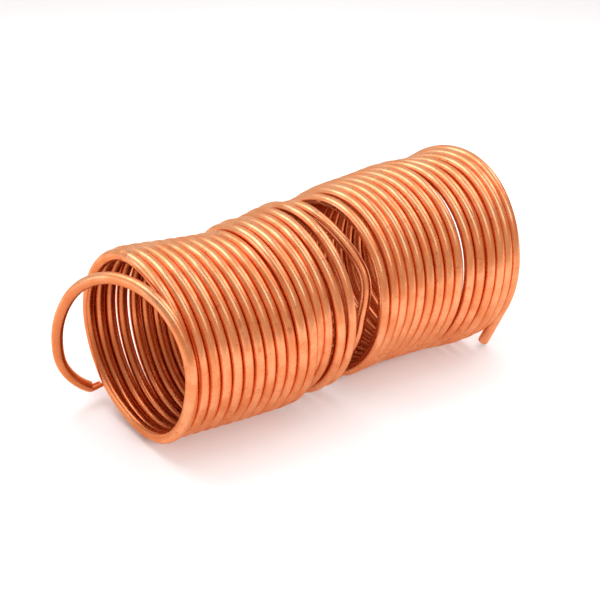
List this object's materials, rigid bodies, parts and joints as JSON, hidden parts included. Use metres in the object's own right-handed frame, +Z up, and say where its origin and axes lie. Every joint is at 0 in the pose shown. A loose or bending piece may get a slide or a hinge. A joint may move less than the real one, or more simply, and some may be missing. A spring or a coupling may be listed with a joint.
{
  "type": "immersion wort chiller coil",
  "caption": "Copper tube wound by hand into a loose, bare cooling coil that lies on its side, with one free looping end and a straight tail.",
  "frame": {"origin": "on the surface that the coil lies on, under the middle of its length and width", "axes": "+X along the coil, from the end with the free loop to the end with the straight tail, +Y to the far side of the picture, +Z up"},
  "size_m": [0.4144, 0.1942, 0.1884],
  "materials": {
    "copper": "satin"
  },
  "bodies": {
    "root": {"inlet_tip": "copper", "inlet_loop": "copper", "front_winding": "copper", "middle_winding": "copper", "crossover_turn": "copper", "rear_winding": "copper", "outlet_tail": "copper"}
  },
  "joints": []
}
